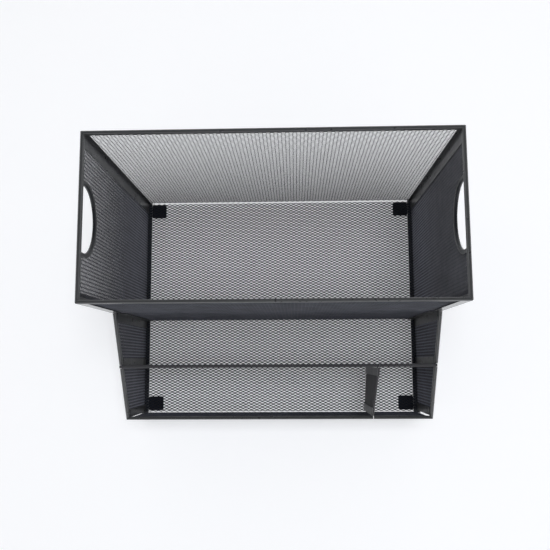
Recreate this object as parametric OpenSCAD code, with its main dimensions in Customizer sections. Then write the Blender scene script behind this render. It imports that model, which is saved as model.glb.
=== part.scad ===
// Mesh desk organizer for hanging files and supplies.
// A tall file box stands at the back. Two lower rows in front of it share its floor
// and its side panels, whose top edges slope down from a shoulder to the front wall.
// A loose divider hangs across the front row and slides along it.
// Millimetres, +X right, +Y towards the back, +Z up. The origin is the middle of the
// footprint, on the surface that the feet stand on.

/* [Overall size] */
// Distance between the middles of the two side panels
panel_span = 318; // [300:1:340]
// Distance between the middles of the front and back panels
panel_depth = 250; // [240:0.5:280]
// Height of the file box, feet included
box_h = 256; // [235:0.5:280]

/* [Layout] */
// Depth of the file box, between the middles of its panels
file_depth = 142.5; // [125:0.5:150]
// Depth of the front row, between the middles of its panels
row_depth = 54; // [40:0.25:60]
// Height of the side panels' shoulder, where the slope starts
shoulder_h = 143.2; // [135:0.1:165]
// Height of the front wall, feet included
front_h = 80.2; // [70:0.1:95]
// Height of the partition between the two rows, feet included
partition_h = 115; // [108:1:120]

/* [Sheet and trim] */
// Overall thickness of a mesh panel
mesh_t = 1.2; // [0.8:0.1:1.3]
// Thickness of the solid steel strips
strip_t = 0.8; // [0.5:0.1:1]
// Width of the folded rim channel
rim_w = 3.2; // [3:0.1:4]
// Height of the folded rim channel
rim_h = 4.5; // [4:0.5:6]
// Wall of the folded rim channel
rim_wall = 0.8; // [0.5:0.1:0.8]

/* [Handles] */
// Radius of the handle opening
handle_r = 28.4; // [24:0.1:34]
// Distance of the opening's centre in front of the file box's middle
handle_forward = 0.7; // [0:0.1:6]
// Straight stretch between the arc and the rail above it
handle_leg = 8.1; // [2:0.1:12]

/* [Feet] */
// Width of a foot pad
foot_w = 17; // [12:0.5:20]
// Depth of a foot pad
foot_d = 16; // [12:0.5:18]
// Thickness of a foot pad
foot_h = 2; // [1.5:0.5:4]
// Distance of the feet from the middles of the side panels
foot_inset = 5.2; // [5.2:0.1:10]

/* [Divider] */
// Place of the divider's middle along the front row
divider_x = 99.4; // [-130:0.1:130]
// Angle that the loose divider stands askew
divider_skew = -4; // [-4:0.5:4]
// Thickness of the divider's plate
plate_t = 0.9; // [0.7:0.1:1.2]
// Width of the folded clip on each end of the plate
clip_w = 8; // [6:0.5:10]

/* [Hidden] */
$fn = 64;
fit_gap = 0.1;
// Steel wraps the panel edges, and the panels stop this far under a rim's crown
crown_gap = 1.2;
side_x = panel_span / 2;
front_y = -panel_depth / 2;
back_y = panel_depth / 2;
wall_y = back_y - file_depth;
partition_y = front_y + row_depth;
half_t = mesh_t / 2;
half_rim = rim_w / 2;
outer_x = side_x + half_rim;
inner_x = side_x - half_t;
floor_top = foot_h + mesh_t;
ring_bottom = box_h - rim_h;
outer_corner_r = 1.5;
mitre_depth = 2 * rim_w;

// The partition's rim passes between the two rims on each slope
slot_gap = 0.25;
slot_half = half_rim + slot_gap;
partition_left_short = 0.8;
partition_right_short = 1.2;

// The slope: from the front corner's middle up to the shoulder, just before the post
slope_end_y = wall_y - half_t - strip_t;
slope_rise = (shoulder_h - front_h) / (slope_end_y - front_y);
slope_angle = atan(slope_rise);
function slope_z(y) = front_h + slope_rise * (y - front_y);
function slope_under(depth) = depth / cos(slope_angle);

// Widths of the steel strips' legs
corner_leg = 12;
corner_return = 4;
post_leg = 9;
post_return = 10;
shoulder_leg = 8.5;
bracket_leg = 8;
front_strip_w = 8;
bottom_leg = 6.4;
bottom_wall = 7.8;
bottom_under = 0.8;
strip_clear = 1.2;
strip_end_gap = 1.5;

// The side panels stop short of the front panel, so each front corner is an open slit,
// a narrow one on the left and a wider one on the right
left_slit = 0.8;
right_slit = 2;
function side_start_y(side) = front_y + (side > 0 ? right_slit : left_slit);

handle_y = (wall_y + back_y) / 2 - handle_forward;
handle_z = ring_bottom - handle_leg;
notch_r = handle_r + crown_gap;
trim_h = 4;

foot_inset_y = 2.6;
foot_x = side_x - foot_inset - foot_w / 2;
foot_y = back_y - foot_inset_y - foot_d / 2;
foot_corner_r = 2;

// The divider in its own frame: x across the plate, y along it, z from the ground
divider_y = (front_y + partition_y) / 2;
divider_end_gap = 0.6;
divider_floor_gap = 0.8;
ear_short = 0.15;
divider_end = row_depth / 2 - half_rim - divider_end_gap;
divider_reach = row_depth / 2 + half_rim - ear_short;
divider_bottom = floor_top + divider_floor_gap;
ear_gap = 0.3;
ear_h = 3;
ear_front_z = front_h + ear_gap;
ear_back_z = partition_h + ear_gap;
clip_t = 0.7;
clip_gap = 0.05;
clip_x = plate_t / 2 + clip_gap;
web_t = 0.6;
bead_r = 0.9;
divider_rise = (ear_back_z - ear_front_z) / (2 * divider_end);
function divider_top(y) = ear_front_z + ear_h + divider_rise * (y + divider_end);

// ---- Colours ----

module mesh_steel() {
    color([0.16, 0.16, 0.17]) children();
}

module strip_steel() {
    color([0.25, 0.25, 0.26]) children();
}

module pad_rubber() {
    color([0.08, 0.08, 0.08]) children();
}

// ---- Shared shapes ----

// Places what is drawn for the right side (+1), or mirrors it to the left (-1)
module on_side(side) {
    if (side > 0) children();
    else mirror([1, 0, 0]) children();
}

// A box given by its lowest and highest corners
module block(low, high) {
    translate(low) cube(high - low);
}

module rounded_rect(w, d, r) {
    square([w - 2 * r, d], center = true);
    square([w, d - 2 * r], center = true);
    for (x = [-1, 1], y = [-1, 1]) {
        translate([x * (w / 2 - r), y * (d / 2 - r)]) circle(r);
    }
}

// The rim's section: a folded strip with a round crown at the origin and two legs down
module channel_section(depth) {
    difference() {
        union() {
            translate([-half_rim, -depth]) square([rim_w, depth - half_rim]);
            translate([0, -half_rim]) circle(half_rim);
        }
        translate([rim_wall - half_rim, -depth - 1]) square([rim_w - 2 * rim_wall, depth + 1 - half_rim]);
        translate([0, -half_rim]) circle(half_rim - rim_wall);
    }
}

module channel_along_x(length) {
    rotate([90, 0, 90]) linear_extrude(length, center = true) channel_section(rim_h);
}

module channel_along_y(length) {
    rotate([90, 0, 0]) linear_extrude(length, center = true) channel_section(rim_h);
}

// An L-shaped strip: its outer corner stands at the origin, its legs run along +X and +Y
module angle_strip(leg_x, leg_y, length) {
    linear_extrude(length) difference() {
        square([leg_x, leg_y]);
        translate([strip_t, strip_t]) square([leg_x, leg_y]);
    }
}

// Cuts one rail to its share of a rectangular ring: share is its mitred plan outline,
// and the ring itself is rounded at its outer corners
module ring_share(low_y, high_y, share) {
    intersection() {
        children();
        linear_extrude(2 * box_h) intersection() {
            translate([0, (low_y + high_y) / 2]) rounded_rect(2 * outer_x, high_y - low_y, outer_corner_r);
            polygon(share);
        }
    }
}

// The plan outline that belongs to a rail along X, at the low (-1) or high (+1) end
function share_x(y, end) = let (x = outer_x - mitre_depth, inner_y = y - end * mitre_depth)
    [[-outer_x, y], [outer_x, y], [x, inner_y], [-x, inner_y]];

// ---- Mesh panels ----

// The floor's edge carries the front and back panels
module floor_panel() {
    mesh_steel() block(
        [fit_gap - inner_x, front_y - half_t, foot_h],
        [inner_x - fit_gap, back_y + half_t, floor_top]);
}

module upright_panel(y, half_w, top_z) {
    mesh_steel() block([-half_w, y - half_t, floor_top], [half_w, y + half_t, top_z - crown_gap]);
}

module back_panel() {
    upright_panel(back_y, inner_x - fit_gap, box_h);
}

module file_wall_panel() {
    upright_panel(wall_y, inner_x - fit_gap, box_h);
}

// The front panel and the partition stop short of the side panels
module front_panel() {
    upright_panel(front_y, inner_x - strip_clear, front_h);
}

module partition_panel() {
    upright_panel(partition_y, inner_x - strip_clear, partition_h);
}

// One stepped sheet per side, with a round notch in its top edge for the hand and a
// small slot in its slope for the partition's rim
module side_panel(side) {
    start_y = side_start_y(side);
    step_y = wall_y - half_t;
    mesh_steel() on_side(side) translate([side_x, 0, 0]) rotate([90, 0, 90])
        linear_extrude(mesh_t, center = true) difference() {
            polygon([
                [start_y, foot_h],
                [back_y + half_t, foot_h],
                [back_y + half_t, box_h - crown_gap],
                [step_y, box_h - crown_gap],
                [step_y, slope_z(step_y) - slope_under(crown_gap)],
                [start_y, slope_z(start_y) - slope_under(crown_gap)]
            ]);
            translate([handle_y, handle_z]) circle(notch_r);
            translate([handle_y - notch_r, handle_z]) square([2 * notch_r, box_h]);
            translate([partition_y - slot_half, partition_h - rim_h - slot_gap])
                square([2 * slot_half, box_h]);
        }
}

// ---- Rims ----

module file_ring_share(share) {
    ring_share(wall_y - half_rim, back_y + half_rim, share) children();
}

module back_rim() {
    strip_steel() file_ring_share(share_x(back_y + half_rim, 1))
        translate([0, back_y, box_h]) channel_along_x(2 * outer_x);
}

module file_wall_rim() {
    strip_steel() file_ring_share(share_x(wall_y - half_rim, -1))
        translate([0, wall_y, box_h]) channel_along_x(2 * outer_x);
}

// The rails that hanging folders hook over
module file_rail(side) {
    low = wall_y - half_rim;
    high = back_y + half_rim;
    x = outer_x - mitre_depth;
    share = [[outer_x, low], [outer_x, high], [x, high - mitre_depth], [x, low + mitre_depth]];
    strip_steel() on_side(side) file_ring_share(share)
        translate([side_x, (low + high) / 2, box_h]) channel_along_y(high - low);
}

// A rim down the slope, cut to its share in plan
module slope_channel(side, share) {
    middle = (front_y + slope_end_y) / 2;
    strip_steel() on_side(side) ring_share(front_y - half_rim, back_y, share)
        translate([side_x, middle, slope_z(middle)]) rotate([slope_angle, 0, 0])
            channel_along_y(panel_depth);
}

// The rim from the post down to the partition
module rear_slope_rim(side) {
    low = partition_y + slot_half;
    x = outer_x - mitre_depth;
    slope_channel(side, [[outer_x, low], [outer_x, slope_end_y], [x, slope_end_y], [x, low]]);
}

// The rim from the partition down to the front rim, which it meets in a mitre
module front_slope_rim(side) {
    low = front_y - half_rim;
    high = partition_y - slot_half;
    x = outer_x - mitre_depth;
    slope_channel(side, [[outer_x, low], [outer_x, high], [x, high], [x, low + mitre_depth]]);
}

module front_rim() {
    strip_steel() ring_share(front_y - half_rim, back_y, share_x(front_y - half_rim, -1))
        translate([0, front_y, front_h]) channel_along_x(2 * outer_x);
}

module partition_rim() {
    shift = (partition_left_short - partition_right_short) / 2;
    length = 2 * outer_x - partition_left_short - partition_right_short;
    strip_steel() translate([shift, partition_y, partition_h]) channel_along_x(length);
}

// ---- Handle trim ----

// The folded strip around a handle opening: half a circle and two short legs up to the rail
module handle_trim(side) {
    strip_steel() on_side(side) translate([side_x, handle_y, handle_z]) rotate([90, 0, 90]) {
        rotate([0, 0, 180]) rotate_extrude(angle = 180)
            translate([handle_r, 0]) rotate(90) channel_section(trim_h);
        for (end = [0, 1]) {
            mirror([end, 0, 0]) translate([handle_r, 0, 0]) rotate([-90, 0, 0])
                linear_extrude(handle_leg) rotate(90) channel_section(trim_h);
        }
    }
}

// ---- Corner strips ----

// Wraps the outer corner of the file box above the shoulder
module post(side) {
    bottom = shoulder_h + strip_end_gap;
    strip_steel() on_side(side) translate([side_x + half_t + strip_t, slope_end_y, bottom])
        mirror([1, 0, 0]) angle_strip(post_leg, post_return, ring_bottom - bottom);
}

// Lies in an inner corner: toward is +1 when the cross panel is behind it, -1 when in front
module inner_angle(side, face_y, toward, leg_along, leg_across, top_z) {
    strip_steel() on_side(side) translate([inner_x, face_y, floor_top])
        rotate([0, 0, 180]) mirror([0, toward > 0 ? 0 : 1, 0])
            angle_strip(leg_across, leg_along, top_z - floor_top);
}

module back_angle(side) {
    inner_angle(side, back_y - half_t, 1, corner_leg, corner_return, ring_bottom);
}

module wall_angle(side) {
    inner_angle(side, wall_y + half_t, -1, corner_return, corner_leg, ring_bottom);
}

// Joins the low part of the side panel to the front face of the file wall
module shoulder_angle(side) {
    low_y = wall_y - half_t - shoulder_leg;
    inner_angle(side, wall_y - half_t, 1, shoulder_leg, shoulder_leg,
        slope_z(low_y) - slope_under(rim_h) - fit_gap);
}

module partition_bracket(side) {
    inner_angle(side, partition_y + half_t, -1, bracket_leg, bracket_leg,
        slope_z(partition_y) - slope_under(rim_h) - fit_gap);
}

// A flat strip on the side panel, along the open slit of the front corner
module front_strip(side) {
    start_y = side_start_y(side);
    strip_steel() on_side(side) block(
        [inner_x - strip_t, start_y, floor_top],
        [inner_x, start_y + front_strip_w, front_h - rim_h - strip_end_gap]);
}

// Wraps the bottom corner outside, under the floor's edge
module bottom_angle(side) {
    corner_x = side_x + half_t + strip_t;
    length = panel_depth + mesh_t;
    strip_steel() on_side(side) translate([corner_x, -length / 2, foot_h - bottom_under])
        rotate([90, 0, 180]) angle_strip(bottom_leg, bottom_wall, length);
}

// ---- Feet ----

module foot(side, end) {
    pad_rubber() translate([side * foot_x, end * foot_y, 0])
        linear_extrude(foot_h) rounded_rect(foot_w, foot_d, foot_corner_r);
}

// ---- Divider ----

module in_divider() {
    translate([divider_x, divider_y, 0]) rotate([0, 0, divider_skew]) children();
}

// A flat piece of the divider: an outline in y and z, from x_low to x_high
module divider_sheet(x_low, x_high, outline) {
    translate([x_low, 0, 0]) rotate([90, 0, 90]) linear_extrude(x_high - x_low) polygon(outline);
}

module divider_plate() {
    end = divider_end - web_t - clip_gap;
    bead_run = 2 * (divider_end - clip_w - bead_r);
    bead_angle = atan(divider_rise);
    strip_steel() in_divider() {
        divider_sheet(-plate_t / 2, plate_t / 2, [
            [-end, divider_bottom], [end, divider_bottom],
            [end, divider_top(end) - bead_r], [-end, divider_top(-end) - bead_r]
        ]);
        // The rolled top edge between the clips
        translate([0, 0, divider_top(0) - bead_r]) rotate([90 + bead_angle, 0, 0])
            cylinder(h = bead_run / cos(bead_angle), r = bead_r, center = true);
    }
}

// A folded clip over one end of the plate. Its right cheek carries the ear that rests
// on the rim: end is -1 for the front, +1 for the partition.
module divider_clip(end, ear_z) {
    tip = end * divider_end;
    inner = end * (divider_end - clip_w);
    reach = end * divider_reach;
    cheek = [
        [inner, divider_bottom], [tip, divider_bottom],
        [tip, divider_top(tip)], [inner, divider_top(inner)]
    ];
    ear = [[tip - end, ear_z], [reach, ear_z], [reach, ear_z + ear_h], [tip - end, ear_z + ear_h]];
    web = [
        [tip, divider_bottom], [tip - end * web_t, divider_bottom],
        [tip - end * web_t, divider_top(tip - end * web_t)], [tip, divider_top(tip)]
    ];
    strip_steel() in_divider() union() {
        divider_sheet(-clip_x - clip_t, -clip_x, cheek);
        divider_sheet(clip_x, clip_x + clip_t, cheek);
        divider_sheet(clip_x, clip_x + clip_t, ear);
        divider_sheet(-clip_x, clip_x, web);
    }
}

floor_panel();
back_panel();
file_wall_panel();
front_panel();
partition_panel();
side_panel(-1);  // left_side_panel
side_panel(1);  // right_side_panel
back_rim();
file_wall_rim();
file_rail(-1);  // left_file_rail
file_rail(1);  // right_file_rail
rear_slope_rim(-1);  // left_rear_slope_rim
rear_slope_rim(1);  // right_rear_slope_rim
front_slope_rim(-1);  // left_front_slope_rim
front_slope_rim(1);  // right_front_slope_rim
front_rim();
partition_rim();
handle_trim(-1);  // left_handle_trim
handle_trim(1);  // right_handle_trim
post(-1);  // left_post
post(1);  // right_post
back_angle(-1);  // back_left_angle
back_angle(1);  // back_right_angle
wall_angle(-1);  // wall_left_angle
wall_angle(1);  // wall_right_angle
shoulder_angle(-1);  // left_shoulder_angle
shoulder_angle(1);  // right_shoulder_angle
front_strip(-1);  // left_front_strip
front_strip(1);  // right_front_strip
partition_bracket(-1);  // left_partition_bracket
partition_bracket(1);  // right_partition_bracket
bottom_angle(-1);  // left_bottom_angle
bottom_angle(1);  // right_bottom_angle
foot(-1, 1);  // back_left_foot
foot(1, 1);  // back_right_foot
foot(-1, -1);  // front_left_foot
foot(1, -1);  // front_right_foot
divider_plate();
divider_clip(-1, ear_front_z);  // divider_front_clip
divider_clip(1, ear_back_z);  // divider_back_clip
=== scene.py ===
import math

import bpy
import numpy as np
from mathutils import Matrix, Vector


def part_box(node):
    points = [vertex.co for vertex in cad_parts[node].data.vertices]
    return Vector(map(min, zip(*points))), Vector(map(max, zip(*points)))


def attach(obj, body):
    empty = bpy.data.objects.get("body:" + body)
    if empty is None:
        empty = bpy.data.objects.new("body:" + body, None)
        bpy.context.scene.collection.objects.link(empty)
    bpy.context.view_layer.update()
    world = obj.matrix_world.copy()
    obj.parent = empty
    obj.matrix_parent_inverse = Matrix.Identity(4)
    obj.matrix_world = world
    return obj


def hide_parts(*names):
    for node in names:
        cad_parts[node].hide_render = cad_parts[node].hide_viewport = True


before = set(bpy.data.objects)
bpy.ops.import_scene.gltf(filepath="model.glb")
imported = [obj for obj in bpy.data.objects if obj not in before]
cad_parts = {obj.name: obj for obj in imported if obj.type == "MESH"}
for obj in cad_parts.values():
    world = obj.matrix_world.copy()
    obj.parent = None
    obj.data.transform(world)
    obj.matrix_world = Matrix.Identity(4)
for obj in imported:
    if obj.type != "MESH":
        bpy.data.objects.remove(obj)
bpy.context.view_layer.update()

# ---- Mesh sizes, in metres ----

# The diamonds of the expanded metal, the long way and the short way
CELL_LONG = 0.0064
CELL_SHORT = 0.0032

# Width, thickness and tilt of the strands, and length of the bonds between them. The floor's
# strands are the widest and lie the flattest, and those of the side walls are the narrowest.
FLOOR_STRAND = (0.00082, 0.00026, math.radians(20), 0.0010)
CROSS_STRAND = (0.00054, 0.00033, math.radians(27.5), 0.0013)
SIDE_STRAND = (0.00039, 0.00038, math.radians(26), 0.0012)

# The floor's cut edges stop short of the back and front walls, and leave a bright line there
FLOOR_GAP_REAR = 0.0024
FLOOR_GAP_FORE = 0.0018

# How far an edge of mesh lies inside the rim that folds over it
EDGE_COVER = 0.0012

# A face on the outline stays if at least this many of its corners lay inside
CORNERS_INSIDE = 2

# The least length to divide by
TINY = 1e-9

# A bond's six points: a low, a middle and a high edge at its near end, then at its far end.
# EDGES is how many edges an end has, and a face is named by the lower of its two.
POINT_ENDS = np.array([-1, -1, -1, 1, 1, 1])
POINT_EDGES = np.array([-1, 0, 1, -1, 0, 1])
EDGES = 3
LOW, MIDDLE = 0, 1

# The faces' mark that tells bonds from strands, and picks the bonds for the painted glints
BOND_MARK = "bond"

# ---- Coat sizes, in metres, and ranges ----

# Lumps in the coat's shade, patches in its roughness, and its grain
SHADE_SIZE = 0.02
PATCH_SIZE = 0.006
GRAIN_SIZE = 0.0003
SHADE_DETAIL = 3
FINE_DETAIL = 2

# The values between which a noise does nearly all of its changing
NOISE_RANGE = (0.3, 0.7)

# The shade is the coat's colour times these, and the roughness strays this far either way
SHADE_DARK = 0.75
SHADE_LIGHT = 1.35
ROUGHNESS_STRAY = 0.03

# Wear: how sharp an edge is where it starts and where it is full, how much of it shows, and the
# worn colour, which is a grey plus a multiple of the coat's own
EDGE_SHARPNESS = (0.52, 0.62)
EDGE_WEAR = 0.5
WORN_GREY = 0.06
WORN_GAIN = 2

# How level a face is where bare metal starts and where it is full, and its light grey: a painted highlight
LEVEL_FACE = (0.97, 0.99)
BARE_TOP_HIGHLIGHT_GREY = 0.7

# Painted glints of the bright floor's light on the bonds: how many times lighter bonds are than
# strands, and the heights between which that fades. The cross walls end below the second height, so
# their bonds keep a little painted glint up to the rim.
SIDE_BOND_GLINTS = (4.6, 0.05, 0.155)
CROSS_BOND_GLINTS = (3.5, 0.15, 0.40)

# Reliefs: depth of the grain, depth of the orange peel, and size of the peel's bumps
WALL_RELIEF = (0.000004, 0.000004, 0.0015)
SHEET_RELIEF = (0.000004, 0.000006, 0.0015)
TRIM_RELIEF = (0.000003, 0.000002, 0.0016)
POST_RELIEF = (0.000001, 0.000003, 0.002)
PLATE_RELIEF = (0.000004, 0.000006, 0.0016)
RUBBER_RELIEF = (0.00001, 0.00001, 0.003)

# Sockets of a colour's mix node
MIX_FACTOR, MIX_UNDER, MIX_OVER = 0, 6, 7
MIX_RESULT = 2

# ---- Camera, stage and light ----

# The camera hangs over the organizer, a little in front of its middle. Its turn is in degrees,
# and its lens and sensor are in millimetres.
CAMERA_PLACE = (0.0183, -0.0657, 0.7864)
CAMERA_TURN = (7.35, 1.766, -0.31)
CAMERA_LENS = 43.43
SENSOR_WIDTH = 36.0

# The pale floor: half its side, its surface, and its own faint glow, which rises from the first
# strength to the second between two distances from the middle
STAGE_HALF = 15.0
PAPER_COLOUR = (0.89, 0.893, 0.905)
PAPER_ROUGHNESS = 0.9
PAPER_GLOSS = 0.1
GLOW_COLOUR = (0.98, 0.985, 0.99)
GLOW_STRENGTH = (0.22, 0.6)
GLOW_DISTANCE = (0.6, 3.5)

# White surroundings: their strength falls from the horizon's to the zenith's up to this height
# on a sphere of radius 1
SKY_COLOUR = (1.0, 0.985, 0.985)
SKY_STRENGTH = (2.2, 0.1)
SKY_FADE_TOP = 0.6

# One broad light overhead, in metres and watts
LIGHT_SIDE = 1.0
LIGHT_PLACE = (0.15, 0.0, 2.4)
LIGHT_POWER = 36
LIGHT_COLOUR = (0.945, 0.968, 1.0)


def node_box(name):
    """The lowest and highest corners of a CAD node, as arrays."""
    low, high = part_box(name)
    return np.array(low), np.array(high)


def middle_of(name):
    """The middle of a CAD node's box."""
    low, high = node_box(name)
    return (low + high) / 2


def put_in_scene(name, data):
    """A new object with this data, linked to the scene."""
    thing = bpy.data.objects.new(name, data)
    bpy.context.scene.collection.objects.link(thing)
    return thing


# ---- Parts of materials ----
# Each adds nodes to a material's or the world's tree and returns the last one's output


def ranged(tree, value, source, target, smooth=False):
    """A value carried from one range to another, and held inside it."""
    node = tree.nodes.new("ShaderNodeMapRange")
    if smooth:
        node.interpolation_type = "SMOOTHSTEP"
    for socket, number in zip(("From Min", "From Max", "To Min", "To Max"), (*source, *target)):
        node.inputs[socket].default_value = number
    tree.links.new(value, node.inputs["Value"])
    return node.outputs["Result"]


def own_place(tree, kind="Object"):
    """Where on the object a point is, or another kind of texture coordinate."""
    return tree.nodes.new("ShaderNodeTexCoord").outputs[kind]


def upward(tree, vector):
    """A vector's upward part."""
    split = tree.nodes.new("ShaderNodeSeparateXYZ")
    tree.links.new(vector, split.inputs["Vector"])
    return split.outputs["Z"]


def noise(tree, size, detail):
    """A cloudy value with lumps of about this size."""
    node = tree.nodes.new("ShaderNodeTexNoise")
    node.inputs["Scale"].default_value = 1 / size
    node.inputs["Detail"].default_value = detail
    tree.links.new(own_place(tree), node.inputs["Vector"])
    return node.outputs["Fac"]


def laid_over(tree, factor, under, over):
    """A colour laid over another, which may be a colour too or a node's output."""
    node = tree.nodes.new("ShaderNodeMix")
    node.data_type = "RGBA"
    tree.links.new(factor, node.inputs[MIX_FACTOR])
    if isinstance(under, bpy.types.NodeSocket):
        tree.links.new(under, node.inputs[MIX_UNDER])
    else:
        node.inputs[MIX_UNDER].default_value = (*under, 1)
    node.inputs[MIX_OVER].default_value = (*over, 1)
    return node.outputs[MIX_RESULT]


def cloudy_shade(tree, colour):
    """The coat's colour, darker and lighter as its thickness varies."""
    dark = [SHADE_DARK * c for c in colour]
    light = [SHADE_LIGHT * c for c in colour]
    thickness = ranged(tree, noise(tree, SHADE_SIZE, SHADE_DETAIL), NOISE_RANGE, (0, 1))
    return laid_over(tree, thickness, dark, light)


def worn_edges(tree, shade, colour, wear):
    """A lighter grey along the sharp edges."""
    sharp = tree.nodes.new("ShaderNodeNewGeometry").outputs["Pointiness"]
    worn = [WORN_GREY + WORN_GAIN * c for c in colour]
    return laid_over(tree, ranged(tree, sharp, EDGE_SHARPNESS, (0, wear)), shade, worn)


def paint_bare_top_highlight(tree, shade, grey):
    """Bare metal on the faces that look straight up, painted as light as a glint: a painted highlight."""
    level = upward(tree, tree.nodes.new("ShaderNodeNewGeometry").outputs["True Normal"])
    return laid_over(tree, ranged(tree, level, LEVEL_FACE, (0, 1)), shade, (grey, grey, grey))


def paint_bond_glints(tree, shade, colour, gain, low, high):
    """Painted glints: bonds painted lighter near the bright floor, fading into the strands higher up."""
    mark = tree.nodes.new("ShaderNodeAttribute")
    mark.attribute_name = BOND_MARK
    # How much painted glint each face gets: bond faces only, less with height
    glint_share = tree.nodes.new("ShaderNodeMath")
    glint_share.operation = "MULTIPLY"
    tree.links.new(mark.outputs["Fac"], glint_share.inputs[0])
    tree.links.new(ranged(tree, upward(tree, own_place(tree)), (low, high), (1, 0)), glint_share.inputs[1])
    return laid_over(tree, glint_share.outputs["Value"], shade, [gain * c for c in colour])


def uneven_normal(tree, grain, peel, peel_size):
    """The relief: grain over orange peel."""
    normal = None
    for size, depth in ((peel_size, peel), (GRAIN_SIZE, grain)):
        bump = tree.nodes.new("ShaderNodeBump")
        bump.inputs["Distance"].default_value = depth
        tree.links.new(noise(tree, size, FINE_DETAIL), bump.inputs["Height"])
        if normal:
            tree.links.new(normal, bump.inputs["Normal"])
        normal = bump.outputs["Normal"]
    return normal


def coat_material(name, colour, roughness, gloss, relief, sheen=(1, 1, 1), wear=0, bare_top_highlight=0, bond_glints=None):
    """Black powder coat or rubber: uneven in shade, roughness and relief, worn where it says so, and with
    painted glints and a painted highlight where asked.
    """
    material = bpy.data.materials.new(name)
    material.use_nodes = True
    tree = material.node_tree
    shader = tree.nodes["Principled BSDF"]
    shader.inputs["Specular IOR Level"].default_value = gloss
    shader.inputs["Specular Tint"].default_value = (*sheen, 1)

    shade = cloudy_shade(tree, colour)
    if wear:
        shade = worn_edges(tree, shade, colour, wear)
    # Level tops painted light grey: bare metal with a painted highlight
    if bare_top_highlight:
        shade = paint_bare_top_highlight(tree, shade, bare_top_highlight)
    # Bonds painted lighter: painted glints of the floor's light
    if bond_glints:
        shade = paint_bond_glints(tree, shade, colour, *bond_glints)
    tree.links.new(shade, shader.inputs["Base Color"])

    patches = (roughness - ROUGHNESS_STRAY, roughness + ROUGHNESS_STRAY)
    rough = ranged(tree, noise(tree, PATCH_SIZE, FINE_DETAIL), NOISE_RANGE, patches)
    tree.links.new(rough, shader.inputs["Roughness"])
    tree.links.new(uneven_normal(tree, *relief), shader.inputs["Normal"])
    return material


# ---- Coats ----

# The four mesh coats are copies of one black powder coat in different shades. The walls' coats are lighter,
# painted light for the low light they catch. The floor's and the back wall's coats are darker, painted
# shade.
SIDE_COAT = coat_material(
    "side_mesh_coat", colour=(0.036, 0.038, 0.048), roughness=0.36, gloss=0.5, relief=WALL_RELIEF,
    bond_glints=SIDE_BOND_GLINTS)
CROSS_COAT = coat_material(
    "cross_mesh_coat", colour=(0.044, 0.048, 0.062), roughness=0.36, gloss=0.5, relief=WALL_RELIEF,
    bond_glints=CROSS_BOND_GLINTS)
BACK_COAT = coat_material(
    "back_mesh_coat", colour=(0.014, 0.016, 0.022), roughness=0.40, gloss=0.3, relief=SHEET_RELIEF)
FLOOR_COAT = coat_material(
    "floor_mesh_coat", colour=(0.006, 0.008, 0.014), roughness=0.40, gloss=0.25, relief=SHEET_RELIEF,
    sheen=(0.7, 0.85, 1.0))
TRIM_COAT = coat_material(
    "trim_coat", colour=(0.0066, 0.0073, 0.0090), roughness=0.30, gloss=0.36, relief=TRIM_RELIEF,
    sheen=(0.92, 0.96, 1.0), wear=EDGE_WEAR)
RIM_COAT = coat_material(
    "rim_coat", colour=(0.008, 0.0085, 0.0095), roughness=0.30, gloss=0.80, relief=TRIM_RELIEF,
    sheen=(0.94, 0.98, 1.0), wear=EDGE_WEAR)
POST_COAT = coat_material(
    "post_coat", colour=(0.009, 0.0095, 0.0105), roughness=0.18, gloss=0.5, relief=POST_RELIEF,
    wear=EDGE_WEAR)
PLATE_COAT = coat_material(
    "plate_coat", colour=(0.012, 0.0122, 0.0145), roughness=0.55, gloss=0.12, relief=PLATE_RELIEF,
    wear=EDGE_WEAR)
CLIP_COAT = coat_material(
    "clip_coat", colour=(0.022, 0.023, 0.026), roughness=0.40, gloss=0.35, relief=PLATE_RELIEF,
    wear=EDGE_WEAR)
# The front clips: bare metal on their level tops, painted light grey as a highlight
BARE_AND_HIGHLIGHT_CLIP_COAT = coat_material(
    "bare_and_highlight_clip_coat", colour=(0.022, 0.023, 0.026), roughness=0.40, gloss=0.35, relief=PLATE_RELIEF,
    wear=EDGE_WEAR, bare_top_highlight=BARE_TOP_HIGHLIGHT_GREY)
RUBBER = coat_material(
    "foot_rubber", colour=(0.014, 0.0135, 0.015), roughness=0.75, gloss=0.5, relief=RUBBER_RELIEF)

# A CAD node takes the first coat whose words are in its name, and otherwise the trim's
NODE_COATS = (
    ("_foot", RUBBER),
    ("divider_plate", PLATE_COAT),
    ("front_clip", BARE_AND_HIGHLIGHT_CLIP_COAT),
    ("_clip", CLIP_COAT),
    ("partition_rim", PLATE_COAT),
    ("_rim", RIM_COAT),
    ("_rail", RIM_COAT),
    ("_post", POST_COAT),
)


def dress_cad_nodes():
    """Gives every CAD node its coat."""
    for name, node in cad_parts.items():
        coat = next((c for words, c in NODE_COATS if words in name), TRIM_COAT)
        for slot in node.material_slots:
            slot.material = coat


# ---- Expanded metal ----


def bond_lattice(spans):
    """A staggered lattice of bonds that fills a sheet of these two lengths.

    Its columns and rows are half a cell apart, stretched a little to fit. Returns each bond's
    column and row, a grid of the bonds' numbers, and the two steps.
    """
    counts = [round(span / cell * 2) for span, cell in zip(spans, (CELL_LONG, CELL_SHORT))]
    steps = [span / count for span, count in zip(spans, counts)]
    columns, rows = np.meshgrid(*(np.arange(count + 1) for count in counts), indexing="ij")
    taken = (columns + rows) % 2 == 0
    numbers = np.full(taken.shape, -1)
    numbers[taken] = np.arange(taken.sum())
    return columns[taken], rows[taken], numbers, steps


def band(near_ends, near_edge, far_ends, far_edge):
    """Faces between pairs of bond ends, each from a given edge to the next one up."""
    near = near_ends * EDGES + near_edge
    far = far_ends * EDGES + far_edge
    return np.stack([near, far, far + 1, near + 1], axis=1)


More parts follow.
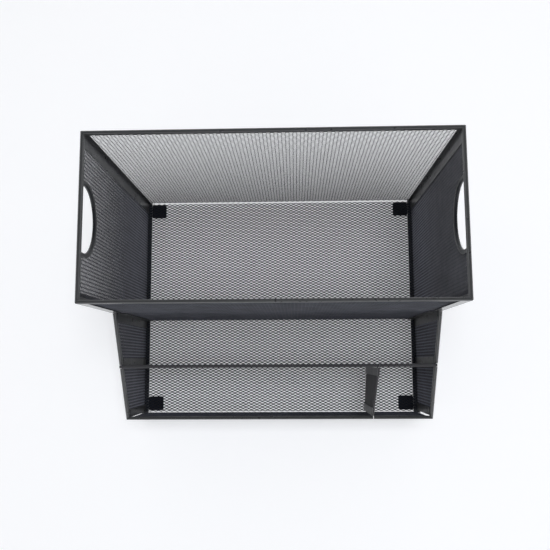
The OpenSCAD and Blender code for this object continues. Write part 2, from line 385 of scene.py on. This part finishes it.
def lattice_faces(columns, rows, numbers):
    """The faces of a sheet's upper side: two on each bond, then one on each strand.

    Returns them with a mask of those that lie on bonds.
    """
    near_ends = 2 * np.arange(len(columns))
    far_ends = near_ends + 1
    faces = [band(near_ends, edge, far_ends, edge) for edge in (LOW, MIDDLE)]
    on_bonds = 2 * len(near_ends)
    for step, near_edge, far_edge in ((-1, LOW, MIDDLE), (1, MIDDLE, LOW)):
        next_rows = rows + step
        joined = (columns + 1 < numbers.shape[0]) & (next_rows >= 0) & (next_rows < numbers.shape[1])
        next_bonds = numbers[columns[joined] + 1, next_rows[joined]]
        faces.append(band(far_ends[joined], near_edge, 2 * next_bonds, far_edge))
    faces = np.concatenate(faces)
    return faces, np.arange(len(faces)) < on_bonds


def edge_walls(upper, count):
    """Faces down from every edge of the upper side that has a face on one side only.

    A point of the lower side has the number of the one over it, plus count.
    """
    start, end = upper.ravel(), np.roll(upper, -1, axis=1).ravel()
    alone = ~np.isin(start * count + end, end * count + start)
    start, end = start[alone], end[alone]
    return np.stack([start, start + count, end + count, end], axis=1)


def expanded_sheet(name, origin, directions, spans, strand, lean, coat, fit=None):
    """One sheet of expanded metal as a closed mesh.

    origin is a corner of its middle plane. directions are the long way of the diamonds, the short
    way and the sheet's normal, and spans are its lengths along the first two. With lean 1 the
    strands rise towards the normal as they go the short way, with -1 they fall. fit takes points
    on the sheet and returns them moved onto its outline, with a mask of those that lay inside.
    """
    width, thickness, tilt, bond_long = strand
    columns, rows, numbers, steps = bond_lattice(spans)
    flat = np.stack([
        (columns * steps[0])[:, None] + POINT_ENDS * bond_long / 2,
        (rows * steps[1])[:, None] + POINT_EDGES * width * math.cos(tilt),
    ], axis=-1).reshape(-1, 2)
    height = np.tile(POINT_EDGES * width * math.sin(tilt) * lean, len(columns))
    inside = np.ones(len(flat), bool)
    if fit:
        flat, inside = fit(flat)
    flat = flat.clip((0, 0), spans)

    upper, is_bond = lattice_faces(columns, rows, numbers)
    kept = inside[upper].sum(axis=1) >= CORNERS_INSIDE
    upper, is_bond = upper[kept], is_bond[kept]
    walls = edge_walls(upper, len(flat))
    faces = np.concatenate([upper, upper[:, ::-1] + len(flat), walls])
    is_bond = np.concatenate([is_bond, is_bond, np.zeros(len(walls))])

    # Into space: the thickness is laid along the strands' own normal
    along, across, normal = (np.array(a, float) for a in directions)
    middle = np.array(origin, float) + flat[:, :1] * along + flat[:, 1:] * across + height[:, None] * normal
    depth = thickness / 2 * (normal * math.cos(tilt) - across * math.sin(tilt) * lean)
    points = np.concatenate([middle + depth, middle - depth])
    if np.dot(np.cross(along, across), normal) < 0:
        faces = faces[:, ::-1]
    used, faces = np.unique(faces, return_inverse=True)
    return mesh_piece(name, points[used], faces.reshape(-1, 4), is_bond, coat)


def mesh_piece(name, points, quads, is_bond, coat):
    """A piece made of these points and four-sided faces, with its bonds marked."""
    mesh = bpy.data.meshes.new(name)
    mesh.vertices.add(len(points))
    mesh.vertices.foreach_set("co", points.ravel())
    mesh.loops.add(quads.size)
    mesh.loops.foreach_set("vertex_index", quads.ravel())
    mesh.polygons.add(len(quads))
    mesh.polygons.foreach_set("loop_start", np.arange(0, quads.size, 4))
    mesh.update(calc_edges=True)
    mark = mesh.attributes.new(BOND_MARK, "FLOAT", "FACE")
    mark.data.foreach_set("value", is_bond.astype(np.float32))
    mesh.validate()
    mesh.materials.append(coat)
    return put_in_scene(name, mesh)


def place_mesh(piece, node):
    """Puts a piece of mesh in the place of a CAD panel."""
    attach(piece, "organizer")
    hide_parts(node)


# The floor's corners, and the level of its middle, from which the cross walls' mesh rises
FLOOR_LOW, FLOOR_HIGH = node_box("floor_panel")
FLOOR_LEVEL = (FLOOR_LOW[2] + FLOOR_HIGH[2]) / 2


def make_floor():
    """The floor's mesh in two lengths, which meet under the file wall."""
    seam = middle_of("file_wall_panel")[1]
    rear_end = FLOOR_HIGH[1] - FLOOR_GAP_REAR
    fore_end = FLOOR_LOW[1] + FLOOR_GAP_FORE
    width = FLOOR_HIGH[0] - FLOOR_LOW[0]
    for name, start, end in (("floor_mesh_rear", seam, rear_end), ("floor_mesh_fore", fore_end, seam)):
        piece = expanded_sheet(
            name, (FLOOR_LOW[0], start, FLOOR_LEVEL), ((1, 0, 0), (0, 1, 0), (0, 0, 1)),
            (width, end - start), FLOOR_STRAND, 1, FLOOR_COAT)
        place_mesh(piece, "floor_panel")


def make_cross_wall(node, lean, coat):
    """A wall across the organizer, from the floor up into its rim. Its face looks to the front.

    It is made in two mirrored halves, whose bonds meet in the middle.
    """
    low, high = node_box(node)
    middle = middle_of(node)
    spans = (middle[0] - low[0], high[2] - FLOOR_LEVEL)
    for side, edge, along in (("left", low[0], 1), ("right", high[0], -1)):
        piece = expanded_sheet(
            node.replace("panel", "mesh_" + side), (edge, middle[1], FLOOR_LEVEL),
            ((along, 0, 0), (0, 0, 1), (0, -1, 0)), spans, CROSS_STRAND, lean, coat)
        place_mesh(piece, node)


def under_slope(y, z, over, step):
    """Points over the slope go down onto it, or back to the step where that is nearer.

    over is each point's height over the slope. Returns the points and a mask of those that moved.
    """
    before = step - y
    outside = (over > 0) & (before > 0)
    back = outside & (before < over)
    return np.where(back, step, y), np.where(outside & ~back, z - over, z), outside


def out_of_notch(y, z, middle_y, middle_z, radius):
    """Points in the notch, a half circle with straight legs above it, go out to its edge.

    Returns the points and a mask of those that moved.
    """
    away_y, away_z = y - middle_y, np.minimum(z - middle_z, 0)
    away = np.hypot(away_y, away_z)
    within = away < radius
    scale = np.where(within, radius / np.maximum(away, TINY), 1)
    z = np.where(within & (z < middle_z), middle_z + away_z * scale, z)
    return middle_y + away_y * scale, z, within


def side_outline(side):
    """The function that fits a side wall's mesh to its outline: the slope, the step and the notch."""
    low = node_box(side + "_side_panel")[0][1:]
    step = node_box("file_wall_panel")[0][1]
    slope_high = node_box(side + "_rear_slope_rim")[1]
    front = middle_of("front_panel")[1]
    front_top = node_box("front_rim")[1][2]
    rise = (slope_high[2] - front_top) / (slope_high[1] - front)
    cover = EDGE_COVER * math.hypot(1, rise)
    rim_low, rim_high = node_box("partition_rim")
    trim_low, trim_high = node_box(side + "_handle_trim")
    reach = (trim_high[1] - trim_low[1]) / 2
    notch = ((trim_low[1] + trim_high[1]) / 2, trim_low[2] + reach, reach - 2 * EDGE_COVER)

    def fit(flat):
        y, z = (flat + low).T
        over = z - (front_top + rise * (y - front) - cover)
        y, z, outside = under_slope(y, z, over, step)
        # Under the partition's rim, which crosses the slope
        crossed = (y > rim_low[1]) & (y < rim_high[1])
        z = np.where(crossed, np.minimum(z, rim_low[2]), z)
        y, z, within = out_of_notch(y, z, *notch)
        return np.stack([y, z], axis=1) - low, ~(outside | within)

    return fit


def make_side_wall(side, inward):
    """A stepped side wall with its hand notch. Its face looks inward, along X."""
    node = side + "_side_panel"
    low, high = node_box(node)
    piece = expanded_sheet(
        node.replace("panel", "mesh"), (middle_of(node)[0], low[1], low[2]),
        ((0, 1, 0), (0, 0, 1), (inward, 0, 0)), (high - low)[1:], SIDE_STRAND, -1, SIDE_COAT,
        side_outline(side))
    place_mesh(piece, node)


# ---- Stage ----


def make_camera():
    """The camera, which looks almost straight down."""
    data = bpy.data.cameras.new("camera")
    data.lens = CAMERA_LENS
    data.sensor_width = SENSOR_WIDTH
    camera = put_in_scene("camera", data)
    camera.location = CAMERA_PLACE
    camera.rotation_euler = [math.radians(angle) for angle in CAMERA_TURN]
    bpy.context.scene.camera = camera


def make_world():
    """White surroundings: bright near the horizon, dim overhead."""
    world = bpy.data.worlds.new("studio")
    world.use_nodes = True
    tree = world.node_tree
    background = tree.nodes["Background"]
    background.inputs["Color"].default_value = (*SKY_COLOUR, 1)
    height = upward(tree, own_place(tree, "Generated"))
    strength = ranged(tree, height, (0, SKY_FADE_TOP), SKY_STRENGTH, smooth=True)
    tree.links.new(strength, background.inputs["Strength"])
    bpy.context.scene.world = world


def paper_material():
    """Matt white paper that glows faintly, and more far away."""
    paper = bpy.data.materials.new("paper")
    paper.use_nodes = True
    tree = paper.node_tree
    shader = tree.nodes["Principled BSDF"]
    shader.inputs["Base Color"].default_value = (*PAPER_COLOUR, 1)
    shader.inputs["Roughness"].default_value = PAPER_ROUGHNESS
    shader.inputs["Specular IOR Level"].default_value = PAPER_GLOSS
    shader.inputs["Emission Color"].default_value = (*GLOW_COLOUR, 1)
    away = tree.nodes.new("ShaderNodeVectorMath")
    away.operation = "LENGTH"
    tree.links.new(own_place(tree), away.inputs[0])
    glow = ranged(tree, away.outputs["Value"], GLOW_DISTANCE, GLOW_STRENGTH, smooth=True)
    tree.links.new(glow, shader.inputs["Emission Strength"])
    return paper


def make_stage_floor():
    """A pale floor that the organizer stands on."""
    corners = [(x * STAGE_HALF, y * STAGE_HALF, 0) for x, y in ((-1, -1), (1, -1), (1, 1), (-1, 1))]
    mesh = bpy.data.meshes.new("stage_floor")
    mesh.from_pydata(corners, [], [range(len(corners))])
    mesh.materials.append(paper_material())
    put_in_scene("stage_floor", mesh)


def make_light():
    """One broad soft light overhead, which doesn't show in glossy surfaces."""
    data = bpy.data.lights.new("overhead", "AREA")
    data.shape = "SQUARE"
    data.size = LIGHT_SIDE
    data.energy = LIGHT_POWER
    data.color = LIGHT_COLOUR
    light = put_in_scene("overhead", data)
    light.location = LIGHT_PLACE
    light.visible_glossy = False


make_camera()
make_world()
make_stage_floor()
make_light()
bpy.context.scene.view_settings.view_transform = "Standard"

dress_cad_nodes()
make_floor()
make_cross_wall("back_panel", lean=1, coat=BACK_COAT)
make_cross_wall("file_wall_panel", lean=1, coat=CROSS_COAT)
make_cross_wall("partition_panel", lean=1, coat=CROSS_COAT)
make_cross_wall("front_panel", lean=-1, coat=CROSS_COAT)
make_side_wall("left", inward=1)
make_side_wall("right", inward=-1)
